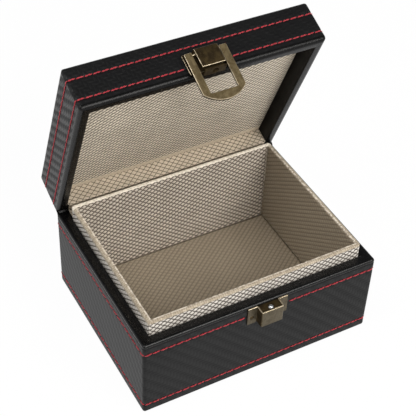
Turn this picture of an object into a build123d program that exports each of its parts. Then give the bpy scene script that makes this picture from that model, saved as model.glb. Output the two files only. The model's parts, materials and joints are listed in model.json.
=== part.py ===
from build123d import *
import os
from math import asin, degrees, hypot, sqrt

os.makedirs("parts", exist_ok=True)

# A small hinged box for car keys. Millimetres, +Z up, origin at the middle of
# its underside, front towards -Y. The lid is drawn shut, and swung open at the
# end to the angle at which the box is stored.

# ---- Driving dimensions ----------------------------------------------------
box_width = 140.0            # along X
box_depth = 110.0            # along Y
base_height = 53.0           # underside to rim
lid_height = 25.0            # rim to top
open_angle = 67.5            # lid's stored angle, counted from shut
rim_gap = 0.3                # between the two rims when shut

# Outer skin of leatherette
leather_thick = 1.0
corner_radius = 1.5          # upright outer edges
bottom_radius = 2.0          # edges round the underside
top_radius = 1.8             # edges round the lid's top
rim_radius = 0.6             # edges of both rims
bottom_turn_in = 14.0        # width glued under the base

# Carcass boards and the sheet under them
wall_board = 4.0
bottom_board = 2.4
top_board = 3.0
cover_thick = 0.6
cover_margin = 6.0           # underside left bare round the sheet

# Lining collar in the base
collar_height = 8.2          # above the base's rim
collar_board = 1.8
cloth_thick = 0.5
collar_side_gap = 0.3        # to the inner skin at the sides and back
collar_swing_gap = 0.3       # kept as the lid's front rim swings past the collar
collar_corner = 1.6
collar_edge = 0.8
floor_pad_thick = 1.5
shield_thick = 0.3
shield_below_rim = 3.0

# Lining of the lid
collar_to_panel = 1.3        # collar's top to the padded panel, with the lid shut
lid_pad_thick = 1.5
lid_pad_board = 1.5
lining_gap = 0.2

# Hinge of folded leather, with cloth over the back rims
hinge_fold_radius = 0.8
hinge_gap = 0.3
gusset_side = 8.0            # cloth ends this far from each side
gusset_cloth = 0.5
gusset_back = 2.0            # cloth ends this far from the back face

# Stitch rows, sunk into the leatherette
thread_height = 0.9
thread_thick = 0.4
groove_height = 1.2
groove_depth = 0.5
base_stitch_low = 6.5        # above the underside
base_stitch_high = 7.2       # below the base's rim
lid_stitch_low = 6.0         # above the rim
lid_stitch_high = 7.5        # below the lid's top

# Latch: both fittings are bent from strip and nailed on the front
latch_x = 2.0                # middle of the latch, right of the box's middle
strip_thick = 0.7
latch_gap = 0.3              # kept between parts that pass each other
nail_radius = 0.5
nail_length = 4.0
nail_head_radius = 1.3
nail_head_height = 0.25

keeper_below_rim = 1.2
keeper_width = 24.0
keeper_flange_height = 11.6
keeper_body_height = 10.6
keeper_side_gap = 1.05       # body to either side of the loop's window
keeper_body_depth = 6.0
keeper_core_drop = 0.5       # core's top below the strip's edge

ball_radius = 1.6
ball_out = 1.1               # stands above the core
ball_forward = 0.55          # in front of the core's middle
bore_gap = 0.05
spring_wire = 0.3
spring_radius = 1.2
spring_turns = 6
spring_floor = 1.5           # bore's bottom above the core's underside

hasp_plate_width = 24.0
hasp_plate_bottom = 1.5      # above the rim
hasp_plate_height = 12.0
hasp_tab_gap = 1.6           # tab to either arm of the loop
hasp_tab_bottom = 2.0        # above the rim
hasp_tab_height = 11.0
hasp_tab_out = 4.8           # tab's front face, in front of the box's face
lug_height = 3.6

pin_above_rim = 10.6
pin_out = 3.2                # pin's axis, in front of the box's face
pin_radius = 0.45
pin_gap = 0.05
loop_width = 24.0
loop_thick = 1.6
loop_arm = 4.3
loop_above_pin = 1.4
loop_bar = 5.2               # widest part of the curved bottom bar
loop_clear = 0.4             # under the keeper's body, with the lid shut
loop_shoulder = 5.4          # height of the curve at the loop's end
loop_bevel = 0.25

# ---- Worked out from them --------------------------------------------------
half_width = box_width / 2
half_depth = box_depth / 2
skin_bottom = cover_thick                       # leatherette starts on the sheet's top
board_bottom = skin_bottom + leather_thick
board_x = half_width - leather_thick            # outer faces of the carcass
board_y = half_depth - leather_thick
board_corner = corner_radius - leather_thick
board_in_x = board_x - wall_board
board_in_y = board_y - wall_board
inner_x = board_in_x - leather_thick            # inner skin's face
inner_y = board_in_y - leather_thick
board_floor = board_bottom + bottom_board
collar_floor = board_floor + shield_thick
collar_top = base_height + collar_height
collar_x = inner_x - collar_side_gap
collar_back = inner_y - collar_side_gap
collar_thick = collar_board + 2 * cloth_thick

lid_rim = base_height + rim_gap
lid_top = base_height + lid_height
lid_board_bottom = lid_rim + leather_thick
lid_board_top = lid_top - leather_thick
lid_ceiling = lid_board_top - top_board
lid_panel = collar_top + collar_to_panel
lid_pad_top = lid_panel + lid_pad_thick
lid_filler_bottom = lid_pad_top + lid_pad_board
lid_filler_top = lid_ceiling - shield_thick

hinge_y = half_depth - leather_thick / 2
hinge_z = base_height + rim_gap / 2
hinge_axis = Axis((0, hinge_y, hinge_z), (-1, 0, 0))
swing_reach = hypot(inner_y + hinge_y, rim_gap / 2) - collar_swing_gap - collar_edge
edge_rise = collar_top - collar_edge - hinge_z
collar_front = sqrt(swing_reach**2 - edge_rise**2) + collar_edge - hinge_y
collar_mid_y = (collar_back - collar_front) / 2
gusset_x = half_width - gusset_side
gusset_y = half_depth - gusset_back

window_width = loop_width - 2 * loop_arm
keeper_body_width = window_width - 2 * keeper_side_gap
hasp_tab_width = window_width - 2 * hasp_tab_gap
nail_x = (keeper_width + keeper_body_width) / 4              # middle of a flange
core_width = keeper_body_width - 2 * strip_thick
core_depth = keeper_body_depth - strip_thick
ball_y = core_depth / 2 + ball_forward                       # in front of the box's face
keeper_top = base_height - keeper_below_rim
keeper_bottom = keeper_top - keeper_flange_height
core_top = keeper_top - keeper_core_drop
ball_z = core_top + ball_out - ball_radius
bore_radius = ball_radius + bore_gap
pin_z = base_height + pin_above_rim
nail_step = thread_height / 2 + nail_radius + latch_gap      # nails clear the thread
keeper_nail_z = base_height - base_stitch_high - nail_step
hasp_nail_z = base_height + lid_stitch_low + nail_step
shelf_bottom = keeper_top + latch_gap
body_bottom = keeper_top - keeper_body_height
window_drop = pin_z - body_bottom + loop_clear  # pin to the window's lower edge
loop_drop = window_drop + loop_bar
passing_room = pin_out - loop_thick / 2 - strip_thick - latch_gap
loop_lean = degrees(asin(passing_room / (pin_z - keeper_bottom)))


# ---- Shared makers ---------------------------------------------------------
def block(x_low, x_high, y_low, y_high, z_low, z_high):
    """A plain board or sheet between six faces."""
    with BuildPart() as piece:
        with BuildSketch(Plane.XY.offset(z_low)):
            with Locations(((x_low + x_high) / 2, (y_low + y_high) / 2)):
                Rectangle(x_high - x_low, y_high - y_low)
        extrude(amount=z_high - z_low)
    return piece


def wall_boards(z_low, z_high, nail_z):
    """Front, back, left and right boards; the sides stand between the others."""
    with BuildPart() as front:
        with BuildSketch(Plane.XY.offset(z_low)) as front_outline:
            with Locations((0, -(board_y + board_in_y) / 2)):
                Rectangle(2 * board_x, wall_board)
            fillet(front_outline.vertices().group_by(Axis.Y)[0], board_corner)
        extrude(amount=z_high - z_low)
        extrude(nail_holes(nail_z), amount=-nail_length, mode=Mode.SUBTRACT)
    with BuildPart() as back:
        with BuildSketch(Plane.XY.offset(z_low)) as back_outline:
            with Locations((0, (board_y + board_in_y) / 2)):
                Rectangle(2 * board_x, wall_board)
            fillet(back_outline.vertices().group_by(Axis.Y)[-1], board_corner)
        extrude(amount=z_high - z_low)
    left = block(-board_x, -board_in_x, -board_in_y, board_in_y, z_low, z_high)
    right = block(board_in_x, board_x, -board_in_y, board_in_y, z_low, z_high)
    return front, back, left, right


def nail_holes(nail_z):
    """Profile of a fitting's two nail holes, on the box's front face."""
    with BuildSketch(Plane.XZ.offset(half_depth)) as holes:
        with Locations((latch_x - nail_x, nail_z), (latch_x + nail_x, nail_z)):
            Circle(nail_radius)
    return holes.sketch


def board_channel(z_low):
    """Profile of the room for the four wall boards inside a skin."""
    with BuildSketch(Plane.XY.offset(z_low)) as channel:
        RectangleRounded(2 * board_x, 2 * board_y, board_corner)
        Rectangle(2 * board_in_x, 2 * board_in_y, mode=Mode.SUBTRACT)
    return channel.sketch


def groove(z_middle):
    """Profile of the groove that a thread row pulls into the skin."""
    with BuildSketch(Plane.XY.offset(z_middle - groove_height / 2)) as ring:
        Rectangle(box_width + leather_thick, box_depth + leather_thick)
        RectangleRounded(
            box_width - 2 * groove_depth,
            box_depth - 2 * groove_depth,
            corner_radius - groove_depth,
            mode=Mode.SUBTRACT,
        )
    return ring.sketch


def thread_row(z_middle):
    """A closed row of thread lying in its groove, just under the skin's face."""
    sunk = groove_depth - thread_thick
    with BuildPart() as row:
        with BuildSketch(Plane.XY.offset(z_middle - thread_height / 2)):
            RectangleRounded(box_width - 2 * sunk, box_depth - 2 * sunk, corner_radius - sunk)
            RectangleRounded(
                box_width - 2 * groove_depth,
                box_depth - 2 * groove_depth,
                corner_radius - groove_depth,
                mode=Mode.SUBTRACT,
            )
        extrude(amount=thread_height)
    return row


def hinge_relief():
    """Profile of the round relief in which the folded leather lies."""
    with BuildSketch(Plane.YZ.offset(-half_width)) as relief:
        with Locations((hinge_y, hinge_z)):
            Circle(hinge_fold_radius + hinge_gap)
    return relief.sketch


def gusset_seat(z_low):
    """Profile of the shallow seat for the cloth on a back rim."""
    with BuildSketch(Plane.XY.offset(z_low)) as seat:
        with Locations((0, (inner_y + gusset_y) / 2)):
            Rectangle(2 * gusset_x, gusset_y - inner_y)
    return seat.sketch


def nails(nail_z):
    """Two round nails with low domed heads on a fitting's flanges."""
    face = half_depth + strip_thick
    dome = (nail_head_radius**2 + nail_head_height**2) / (2 * nail_head_height)
    with BuildPart() as pair:
        for x in (latch_x - nail_x, latch_x + nail_x):
            nail_plane = Plane(origin=(x, -face, nail_z), x_dir=(1, 0, 0), z_dir=(0, 0, 1))
            with BuildSketch(nail_plane):
                with BuildLine():
                    Line((0, nail_length + strip_thick), (nail_radius, nail_length + strip_thick))
                    Line((nail_radius, nail_length + strip_thick), (nail_radius, 0))
                    Line((nail_radius, 0), (nail_head_radius, 0))
                    RadiusArc((nail_head_radius, 0), (0, -nail_head_height), dome)
                    Line((0, -nail_head_height), (0, nail_length + strip_thick))
                make_face()
            revolve(axis=Axis((x, -face, nail_z), (0, 1, 0)))
    return pair


def write(piece, label, swing=None):
    """Name a piece and write it; parts of the lid are swung open first."""
    if swing:
        piece.part = piece.part.rotate(*swing)
    piece.part.label = label
    export_step(piece.part, f"parts/{label}.step")


lid_swing = (hinge_axis, open_angle)

# ---- Base: carcass boards --------------------------------------------------
base_board_top = base_height - leather_thick
base_bottom_board = block(
    -board_in_x, board_in_x, -board_in_y, board_in_y, board_bottom, board_floor
)
base_walls = wall_boards(board_bottom, base_board_top, keeper_nail_z)

# ---- Base: leatherette skin, over the rim and down the inside --------------
with BuildPart() as base_leather_wrap:
    with BuildSketch(Plane.XY.offset(skin_bottom)):
        RectangleRounded(box_width, box_depth, corner_radius)
    extrude(amount=base_height - skin_bottom)
    fillet(base_leather_wrap.faces().sort_by(Axis.Z)[0].edges(), bottom_radius)
    fillet(base_leather_wrap.faces().sort_by(Axis.Z)[-1].edges(), rim_radius)
    with BuildSketch(Plane.XY.offset(board_bottom)):
        Rectangle(2 * inner_x, 2 * inner_y)
    extrude(amount=base_height - board_bottom, mode=Mode.SUBTRACT)
    fillet(base_leather_wrap.faces().sort_by(Axis.Z)[-1].inner_wires()[0].edges(), rim_radius)
    extrude(board_channel(board_bottom), amount=base_board_top - board_bottom, mode=Mode.SUBTRACT)
    with BuildSketch(Plane.XY.offset(board_bottom)):
        Rectangle(2 * board_in_x, 2 * board_in_y)
    extrude(amount=bottom_board, mode=Mode.SUBTRACT)
    with BuildSketch(Plane.XY.offset(skin_bottom)):
        Rectangle(2 * (board_x - bottom_turn_in), 2 * (board_y - bottom_turn_in))
    extrude(amount=leather_thick, mode=Mode.SUBTRACT)
    extrude(groove(base_stitch_low), amount=groove_height, mode=Mode.SUBTRACT)
    extrude(groove(base_height - base_stitch_high), amount=groove_height, mode=Mode.SUBTRACT)
    extrude(hinge_relief(), amount=box_width, mode=Mode.SUBTRACT)
    extrude(nail_holes(keeper_nail_z), amount=-nail_length, mode=Mode.SUBTRACT)
    extrude(gusset_seat(base_height - gusset_cloth), amount=gusset_cloth, mode=Mode.SUBTRACT)

base_stitching_lower = thread_row(base_stitch_low)
base_stitching_upper = thread_row(base_height - base_stitch_high)

# Felt paper sheet on which the box stands
base_bottom_cover = block(
    cover_margin - half_width,
    half_width - cover_margin,
    cover_margin - half_depth,
    half_depth - cover_margin,
    0,
    cover_thick,
)

# ---- Base: shielding tray between the skin and the collar ------------------
with BuildPart() as base_shield_layer:
    with BuildSketch(Plane.XY.offset(board_floor)):
        Rectangle(2 * inner_x, 2 * inner_y)
    extrude(amount=base_height - shield_below_rim - board_floor)
    with BuildSketch(Plane.XY.offset(collar_floor)):
        Rectangle(2 * (inner_x - shield_thick), 2 * (inner_y - shield_thick))
    extrude(amount=base_height, mode=Mode.SUBTRACT)

# ---- Base: lining collar ---------------------------------------------------
collar_board_x = collar_x - cloth_thick
collar_board_back = collar_back - cloth_thick
collar_board_front = collar_front - cloth_thick
collar_board_top = collar_top - cloth_thick
liner_front_board = block(
    -collar_board_x,
    collar_board_x,
    -collar_board_front,
    collar_board - collar_board_front,
    collar_floor,
    collar_board_top,
)
liner_back_board = block(
    -collar_board_x,
    collar_board_x,
    collar_board_back - collar_board,
    collar_board_back,
    collar_floor,
    collar_board_top,
)
liner_side_boards = []
for side_low in (-collar_board_x, collar_board_x - collar_board):
    liner_side_boards.append(
        block(
            side_low,
            side_low + collar_board,
            collar_board - collar_board_front,
            collar_board_back - collar_board,
            collar_floor,
            collar_board_top,
        )
    )

with BuildPart() as liner_fabric:
    with BuildSketch(Plane.XY.offset(collar_floor)):
        with Locations((0, collar_mid_y)):
            RectangleRounded(2 * collar_x, collar_front + collar_back, collar_corner)
            Rectangle(
                2 * (collar_x - collar_thick),
                collar_front + collar_back - 2 * collar_thick,
                mode=Mode.SUBTRACT,
            )
    extrude(amount=collar_top - collar_floor)
    fillet(liner_fabric.faces().sort_by(Axis.Z)[-1].edges(), collar_edge)
    with BuildSketch(Plane.XY.offset(collar_floor)):
        with Locations((0, collar_mid_y)):
            Rectangle(2 * collar_board_x, collar_board_front + collar_board_back)
            Rectangle(
                2 * (collar_board_x - collar_board),
                collar_board_front + collar_board_back - 2 * collar_board,
                mode=Mode.SUBTRACT,
            )
    extrude(amount=collar_board_top - collar_floor, mode=Mode.SUBTRACT)

liner_floor_pad = block(
    collar_thick - collar_x,
    collar_x - collar_thick,
    collar_thick - collar_front,
    collar_back - collar_thick,
    collar_floor,
    collar_floor + floor_pad_thick,
)

# ---- Hinge: folded leather on the hinge line, cloth over the back rim ------
with BuildPart() as hinge_fold:
    with BuildSketch(Plane.YZ.offset(corner_radius - half_width)):
        with Locations((hinge_y, hinge_z)):
            Circle(hinge_fold_radius)
    extrude(amount=box_width - 2 * corner_radius)

hinge_gusset = block(
    -gusset_x,
    gusset_x,
    collar_back,
    gusset_y,
    base_height - gusset_cloth,
    base_height,
)

# ---- Keeper on the base's front: bent strip, core, ball and spring ---------
with BuildPart() as keeper_bracket:
    with BuildSketch(Plane.XY.offset(keeper_bottom)):
        with Locations((latch_x, -half_depth - strip_thick / 2)):
            Rectangle(keeper_width, strip_thick)
    extrude(amount=keeper_flange_height)
    with BuildSketch(Plane.XY.offset(body_bottom)):
        with Locations((latch_x, -half_depth - keeper_body_depth / 2)):
            Rectangle(keeper_body_width, keeper_body_depth)
    extrude(amount=keeper_body_height)
    with BuildSketch(Plane.XY.offset(keeper_bottom)):
        with Locations((latch_x, -half_depth - core_depth / 2)):
            Rectangle(core_width, core_depth)
    extrude(amount=keeper_flange_height, mode=Mode.SUBTRACT)
    extrude(nail_holes(keeper_nail_z), amount=strip_thick, mode=Mode.SUBTRACT)

spring_low = body_bottom + spring_floor
with BuildPart() as keeper_core:
    with BuildSketch(Plane.XY.offset(body_bottom)):
        with Locations((latch_x, -half_depth - core_depth / 2)):
            Rectangle(core_width, core_depth)
    extrude(amount=core_top - body_bottom)
    with BuildSketch(Plane.XY.offset(spring_low)):
        with Locations((latch_x, -half_depth - ball_y)):
            Circle(bore_radius)
    extrude(amount=ball_z - spring_low, mode=Mode.SUBTRACT)
    with Locations((latch_x, -half_depth - ball_y, ball_z)):
        Sphere(bore_radius, mode=Mode.SUBTRACT)

with BuildPart() as keeper_ball:
    with Locations((latch_x, -half_depth - ball_y, ball_z)):
        Sphere(ball_radius)

spring_seat = ball_z - (ball_radius**2 - spring_radius**2) ** 0.5
spring_height = spring_seat - spring_wire - spring_low - spring_wire / 2
spring_base = Plane((latch_x, -half_depth - ball_y, spring_low + spring_wire / 2))
with BuildPart() as keeper_spring:
    with BuildLine(spring_base):
        coil = Helix(spring_height / spring_turns, spring_height, spring_radius)
    with BuildSketch(Plane(origin=coil @ 0, z_dir=coil % 0)):
        Circle(spring_wire / 2)
    sweep(path=coil, is_frenet=True)

keeper_nails = nails(keeper_nail_z)

# ---- Lid: carcass boards ---------------------------------------------------
lid_top_board = block(
    -board_in_x, board_in_x, -board_in_y, board_in_y, lid_ceiling, lid_board_top
)
lid_walls = wall_boards(lid_board_bottom, lid_board_top, hasp_nail_z)

# ---- Lid: leatherette skin -------------------------------------------------
with BuildPart() as lid_leather_wrap:
    with BuildSketch(Plane.XY.offset(lid_rim)):
        RectangleRounded(box_width, box_depth, corner_radius)
    extrude(amount=lid_top - lid_rim)
    fillet(lid_leather_wrap.faces().sort_by(Axis.Z)[-1].edges(), top_radius)
    fillet(lid_leather_wrap.faces().sort_by(Axis.Z)[0].edges(), rim_radius)
    with BuildSketch(Plane.XY.offset(lid_rim)):
        Rectangle(2 * inner_x, 2 * inner_y)
    extrude(amount=lid_filler_bottom - lid_rim, mode=Mode.SUBTRACT)
    fillet(lid_leather_wrap.faces().sort_by(Axis.Z)[0].inner_wires()[0].edges(), rim_radius)
    extrude(board_channel(lid_board_bottom), amount=lid_board_top - lid_board_bottom, mode=Mode.SUBTRACT)
    with BuildSketch(Plane.XY.offset(lid_filler_bottom)):
        Rectangle(2 * board_in_x, 2 * board_in_y)
    extrude(amount=lid_board_top - lid_filler_bottom, mode=Mode.SUBTRACT)
    with BuildSketch(Plane.XY.offset(lid_rim)):
        with Locations((0, (inner_y + board_in_y) / 2)):
            Rectangle(2 * inner_x, board_in_y - inner_y)
    extrude(amount=lid_filler_bottom - lid_rim, mode=Mode.SUBTRACT)
    extrude(gusset_seat(lid_rim), amount=gusset_cloth, mode=Mode.SUBTRACT)
    extrude(groove(base_height + lid_stitch_low), amount=groove_height, mode=Mode.SUBTRACT)
    extrude(groove(lid_top - lid_stitch_high), amount=groove_height, mode=Mode.SUBTRACT)
    extrude(hinge_relief(), amount=box_width, mode=Mode.SUBTRACT)
    extrude(nail_holes(hasp_nail_z), amount=-nail_length, mode=Mode.SUBTRACT)

lid_stitching_lower = thread_row(base_height + lid_stitch_low)
lid_stitching_upper = thread_row(lid_top - lid_stitch_high)

# ---- Lid: shield, filler, padded panel and the cloth on its back wall ------
filler_x = board_in_x - lining_gap
filler_y = board_in_y - lining_gap
panel_x = inner_x - lining_gap
panel_y = inner_y - lining_gap
lid_shield_layer = block(-filler_x, filler_x, -filler_y, filler_y, lid_filler_top, lid_ceiling)
lid_filler_foam = block(-filler_x, filler_x, -filler_y, filler_y, lid_filler_bottom, lid_filler_top)
lid_lining_board = block(-panel_x, panel_x, -panel_y, panel_y, lid_pad_top, lid_filler_bottom)
lid_lining_pad = block(-panel_x, panel_x, -panel_y, panel_y, lid_panel, lid_pad_top)
with BuildPart() as lid_back_lining:
    with BuildSketch(Plane.XY.offset(lid_rim)):
        with Locations((0, (inner_y + board_in_y) / 2)):
            Rectangle(2 * panel_x, board_in_y - inner_y)
    extrude(amount=lid_filler_bottom - lid_rim)
    extrude(gusset_seat(lid_rim), amount=gusset_cloth)

# ---- Hasp on the lid: bent plate with front tab and shelf ------------------
plate_back = half_depth + latch_gap
plate_front = plate_back + strip_thick
tab_bottom = base_height + hasp_tab_bottom
tab_top = tab_bottom + hasp_tab_height
with BuildPart() as hasp_bracket:
    with BuildSketch(Plane.XZ.offset(half_depth)):
        with Locations((latch_x, base_height + hasp_plate_bottom)):
            Rectangle(hasp_plate_width, hasp_plate_height, align=(Align.CENTER, Align.MIN))
    extrude(amount=strip_thick)
    with BuildSketch(Plane.YZ.offset(latch_x - hasp_tab_width / 2)):
        with BuildLine():
            Polyline(
                (-plate_back, shelf_bottom),
                (-half_depth - keeper_body_depth, shelf_bottom),
                (-half_depth - keeper_body_depth, shelf_bottom + strip_thick),
                (-plate_front, shelf_bottom + strip_thick),
                (-plate_front, tab_top - lug_height),
                (strip_thick - half_depth - hasp_tab_out, tab_top - lug_height),
                (strip_thick - half_depth - hasp_tab_out, tab_bottom),
                (-half_depth - hasp_tab_out, tab_bottom),
                (-half_depth - hasp_tab_out, tab_top),
                (-plate_back, tab_top),
                close=True,
            )
        make_face()
    extrude(amount=hasp_tab_width)
    with BuildSketch(Plane.YZ.offset(latch_x - hasp_tab_width / 2)):
        with Locations((-half_depth - pin_out, pin_z)):
            Circle(pin_radius + pin_gap)
    extrude(amount=hasp_tab_width, mode=Mode.SUBTRACT)
    with BuildSketch(Plane.XY.offset(shelf_bottom)):
        with Locations((latch_x, -half_depth - ball_y)):
            Circle(ball_radius + latch_gap)
    extrude(amount=strip_thick, mode=Mode.SUBTRACT)
    extrude(nail_holes(hasp_nail_z), amount=strip_thick, mode=Mode.SUBTRACT)

hasp_nails = nails(hasp_nail_z)

with BuildPart() as hasp_pin:
    with BuildSketch(Plane.YZ.offset(latch_x - loop_width / 2)):
        with Locations((-half_depth - pin_out, pin_z)):
            Circle(pin_radius)
    extrude(amount=loop_width)

# ---- Hasp loop: D-shaped plate, drawn hanging and leant back on its pin ----
pin_axis = Axis((0, -half_depth - pin_out, pin_z), (1, 0, 0))
loop_side = loop_width / 2
loop_low = pin_z - loop_drop
loop_shoulder_z = loop_low + loop_shoulder
with BuildPart() as hasp_loop:
    with BuildSketch(Plane.XZ.offset(half_depth + pin_out - loop_thick / 2)):
        with BuildLine():
            Polyline(
                (latch_x + loop_side, loop_shoulder_z),
                (latch_x + loop_side, pin_z + loop_above_pin),
                (latch_x - loop_side, pin_z + loop_above_pin),
                (latch_x - loop_side, loop_shoulder_z),
            )
            ThreePointArc(
                (latch_x - loop_side, loop_shoulder_z),
                (latch_x, loop_low),
                (latch_x + loop_side, loop_shoulder_z),
            )
        make_face()
    extrude(amount=loop_thick)
    chamfer(hasp_loop.faces().sort_by(Axis.Y)[0].edges(), loop_bevel)
    window_height = window_drop + loop_above_pin
    with BuildSketch(Plane.XZ.offset(half_depth + pin_out - loop_thick / 2)):
        with Locations((latch_x, pin_z - window_drop + window_height / 2)):
            Rectangle(window_width, window_height)
    extrude(amount=loop_thick, mode=Mode.SUBTRACT)
    with BuildSketch(Plane.YZ.offset(latch_x - loop_side)):
        with Locations((-half_depth - pin_out, pin_z)):
            Circle(pin_radius + pin_gap)
    extrude(amount=loop_width, mode=Mode.SUBTRACT)
hasp_loop.part = hasp_loop.part.rotate(pin_axis, loop_lean)

# ---- Write every piece -----------------------------------------------------
write(base_bottom_cover, "base_bottom_cover")
write(base_bottom_board, "base_bottom_board")
for wall, side in zip(base_walls, ("front", "back", "left", "right")):
    write(wall, f"base_{side}_board")
write(base_leather_wrap, "base_leather_wrap")
write(base_stitching_lower, "base_stitching_lower")
write(base_stitching_upper, "base_stitching_upper")
write(base_shield_layer, "base_shield_layer")
write(liner_front_board, "liner_front_board")
write(liner_back_board, "liner_back_board")
write(liner_side_boards[0], "liner_left_board")
write(liner_side_boards[1], "liner_right_board")
write(liner_fabric, "liner_fabric")
write(liner_floor_pad, "liner_floor_pad")
write(hinge_fold, "hinge_fold")
write(hinge_gusset, "hinge_gusset")
write(keeper_bracket, "keeper_bracket")
write(keeper_core, "keeper_core")
write(keeper_ball, "keeper_ball")
write(keeper_spring, "keeper_spring")
write(keeper_nails, "keeper_nails")
write(lid_top_board, "lid_top_board", lid_swing)
for wall, side in zip(lid_walls, ("front", "back", "left", "right")):
    write(wall, f"lid_{side}_board", lid_swing)
write(lid_leather_wrap, "lid_leather_wrap", lid_swing)
write(lid_stitching_lower, "lid_stitching_lower", lid_swing)
write(lid_stitching_upper, "lid_stitching_upper", lid_swing)
write(lid_shield_layer, "lid_shield_layer", lid_swing)
write(lid_filler_foam, "lid_filler_foam", lid_swing)
write(lid_lining_board, "lid_lining_board", lid_swing)
write(lid_lining_pad, "lid_lining_pad", lid_swing)
write(lid_back_lining, "lid_back_lining", lid_swing)
write(hasp_bracket, "hasp_bracket", lid_swing)
write(hasp_nails, "hasp_nails", lid_swing)
write(hasp_pin, "hasp_pin", lid_swing)
write(hasp_loop, "hasp_loop", lid_swing)
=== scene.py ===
import json
import math
import bmesh
import bpy
import numpy as np
from mathutils import Matrix, Quaternion, Vector


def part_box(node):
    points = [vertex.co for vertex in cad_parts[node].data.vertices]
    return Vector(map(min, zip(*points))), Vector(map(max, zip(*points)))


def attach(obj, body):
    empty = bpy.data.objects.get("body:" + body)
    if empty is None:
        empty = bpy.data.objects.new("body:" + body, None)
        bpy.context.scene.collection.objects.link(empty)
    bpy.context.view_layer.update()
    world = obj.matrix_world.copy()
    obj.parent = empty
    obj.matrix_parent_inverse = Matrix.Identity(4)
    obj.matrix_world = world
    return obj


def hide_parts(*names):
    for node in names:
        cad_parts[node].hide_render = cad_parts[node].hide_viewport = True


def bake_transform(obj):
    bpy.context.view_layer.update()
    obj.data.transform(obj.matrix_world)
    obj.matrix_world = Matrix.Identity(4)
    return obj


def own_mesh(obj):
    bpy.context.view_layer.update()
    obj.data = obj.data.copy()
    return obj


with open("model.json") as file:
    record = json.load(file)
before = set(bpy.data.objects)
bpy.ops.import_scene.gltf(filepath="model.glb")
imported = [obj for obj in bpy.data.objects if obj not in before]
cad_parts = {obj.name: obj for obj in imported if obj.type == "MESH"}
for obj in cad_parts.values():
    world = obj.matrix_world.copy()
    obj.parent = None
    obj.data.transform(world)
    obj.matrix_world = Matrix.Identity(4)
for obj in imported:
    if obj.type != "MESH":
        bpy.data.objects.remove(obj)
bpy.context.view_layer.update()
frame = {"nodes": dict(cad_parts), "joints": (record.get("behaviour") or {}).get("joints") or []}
MM = 0.001

# ---- Camera ----------------------------------------------------------------
# A long lens looks down on the box past its front left corner. It stands about
# 0.7 m away and is rolled a few degrees, as a hand-held camera is.
camera_place = Vector((-0.23195, -0.38871, 0.48694))
camera_azimuth = math.radians(-30.324)
camera_elevation = math.radians(42.414)
camera_roll = math.radians(2.777)
camera_lens = 98.6

camera_data = bpy.data.cameras.new("camera")
camera_data.lens = camera_lens
camera_data.sensor_width = 36.0
camera_data.clip_start = 0.01
camera_data.clip_end = 20.0
camera = bpy.data.objects.new("camera", camera_data)
bpy.context.scene.collection.objects.link(camera)
level_reach = math.cos(camera_elevation)
looks_east, looks_north = -math.sin(camera_azimuth) * level_reach, math.cos(camera_azimuth) * level_reach
looks_along = Vector((looks_east, looks_north, -math.sin(camera_elevation)))
camera.rotation_mode = "QUATERNION"
camera.location = camera_place
camera.rotation_quaternion = looks_along.to_track_quat("-Z", "Y") @ Quaternion((0, 0, 1), camera_roll)
bpy.context.scene.camera = camera
bpy.context.scene.view_settings.view_transform = "Standard"

# ---- Studio floor, backdrop and lamps --------------------------------------
# A pale round floor whose rim rises all round into a backdrop. It looks white
# and is mirrored as white, but it lights the box only as any pale floor would.
floor_radius = 2.4
floor_bend = 0.5
backdrop_height = 0.9
floor_drop = 0.0002
floor_white = (0.86, 0.86, 0.85)
floor_glow = 0.97

floor_middle = 0.4
floor_turns = 96
bend_steps = 8
floor_profile = [(floor_middle, 0.0), (floor_radius - floor_bend, 0.0)]
for step in range(1, bend_steps + 1):
    turn = math.pi / 2 * step / bend_steps
    reach = floor_radius - floor_bend + floor_bend * math.sin(turn)
    floor_profile.append((reach, floor_bend - floor_bend * math.cos(turn)))
floor_profile.append((floor_radius, backdrop_height))


def round_turns(count):
    """Angles at even steps once round a circle."""
    return [2 * math.pi * step / count for step in range(count)]


def tube_faces(rings, sides, first=0):
    """Quads that join rings of points into a tube, then a cap at either end."""
    faces = []
    for ring in range(first, first + (rings - 1) * sides, sides):
        for side in range(sides):
            after = (side + 1) % sides
            faces.append((ring + side, ring + side + sides, ring + after + sides, ring + after))
    last = first + (rings - 1) * sides
    return faces + [tuple(range(first, first + sides)), tuple(range(last + sides - 1, last - 1, -1))]


def new_piece(name, points, faces, *paints):
    """A smooth mesh object from points and faces."""
    mesh = bpy.data.meshes.new(name)
    mesh.from_pydata(points, [], faces)
    mesh.polygons.foreach_set("use_smooth", [True] * len(faces))
    for paint in paints:
        mesh.materials.append(paint)
    piece = bpy.data.objects.new(name, mesh)
    bpy.context.scene.collection.objects.link(piece)
    return piece


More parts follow.
